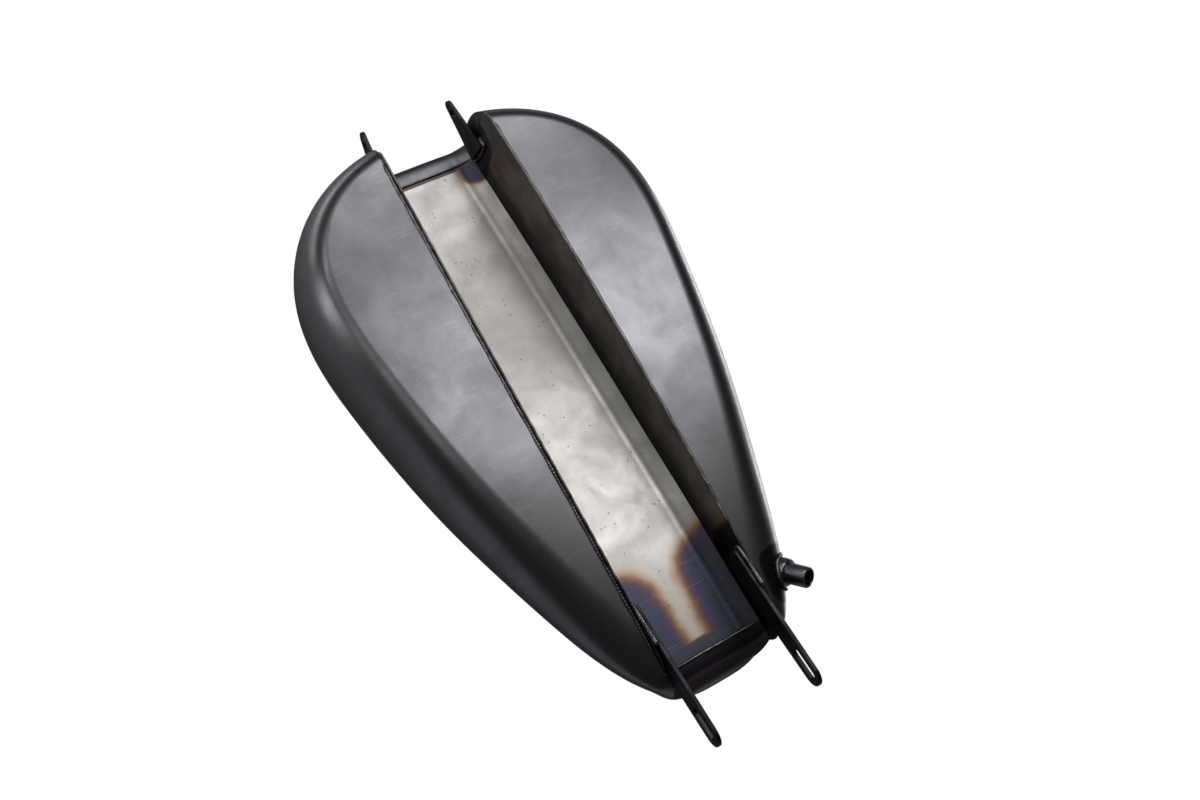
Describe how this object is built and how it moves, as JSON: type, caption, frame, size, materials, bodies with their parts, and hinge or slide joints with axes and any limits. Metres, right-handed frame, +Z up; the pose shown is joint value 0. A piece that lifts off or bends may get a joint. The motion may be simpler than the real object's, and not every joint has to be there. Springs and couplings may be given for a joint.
{
  "type": "motorcycle fuel tank",
  "caption": "Small teardrop fuel tank in bare pressed steel with an open frame tunnel, slotted and drilled mounting tabs, a screw filler cap and an angled fuel outlet.",
  "frame": {"origin": "on the centre plane, midway between the front and rear ends of the whole object, at the height of its lowest point, the rear tabs' tips", "axes": "+Y to the narrow rear end, +Z up to the filler cap, +X to the vehicle's left"},
  "size_m": [0.2826, 0.508, 0.1989],
  "materials": {
    "pressed_steel": "satin bare pressed steel",
    "tunnel_steel": "clean bare sheet",
    "wall_steel": "bare sheet",
    "tab_steel": "dark mill scale",
    "weld_steel": "as welded",
    "pipe_steel": "turned",
    "seal_rubber": "matt",
    "plug_plastic": "matt",
    "cap_chrome": "polished",
    "strainer_brass": "fine mesh"
  },
  "bodies": {
    "tank": {"shell_left": "pressed_steel", "shell_right": "pressed_steel", "tunnel_ceiling": "tunnel_steel", "tunnel_wall_left": "wall_steel", "tunnel_wall_right": "wall_steel", "crown_seam_front": "weld_steel", "crown_seam_rear": "weld_steel", "front_arch_weld": "weld_steel", "rear_arch_weld": "weld_steel", "seam_weld_left": "weld_steel", "seam_weld_right": "weld_steel", "front_tab_left": "tab_steel", "front_tab_right": "tab_steel", "rear_tab_left": "tab_steel", "rear_tab_right": "tab_steel", "front_tab_weld_left": "weld_steel", "front_tab_weld_right": "weld_steel", "rear_tab_weld_left": "weld_steel", "rear_tab_weld_right": "weld_steel", "filler_neck": "pipe_steel", "neck_weld": "weld_steel", "outlet_bung": "pipe_steel", "outlet_weld": "weld_steel", "outlet_pipe": "pipe_steel", "outlet_strainer": "strainer_brass"},
    "cap_seal": {"cap_gasket": "seal_rubber"},
    "cap": {"cap_cover": "cap_chrome", "cap_plug": "plug_plastic", "vent_retainer": "strainer_brass"},
    "vent_ball": {"vent_ball": "pipe_steel"}
  },
  "joints": [
    {"name": "cap_rise", "type": "slide", "parent": "tank", "child": "cap_seal", "axis": [0, 0, 1], "range_m": [0, 0.0202]},
    {"name": "cap_turn", "type": "hinge", "parent": "cap_seal", "child": "cap", "pos_m": [0, -0.09998, 0.18638], "axis": [0, 0, 1], "range_deg": [0, 1440]},
    {"name": "vent_lift", "type": "slide", "parent": "cap", "child": "vent_ball", "axis": [0, 0, 1], "range_m": [0, 0.0012]}
  ],
  "couplings": [
    {"joint": "cap_rise", "follows": "cap_turn", "m_per_rad": 0.00079577}
  ]
}
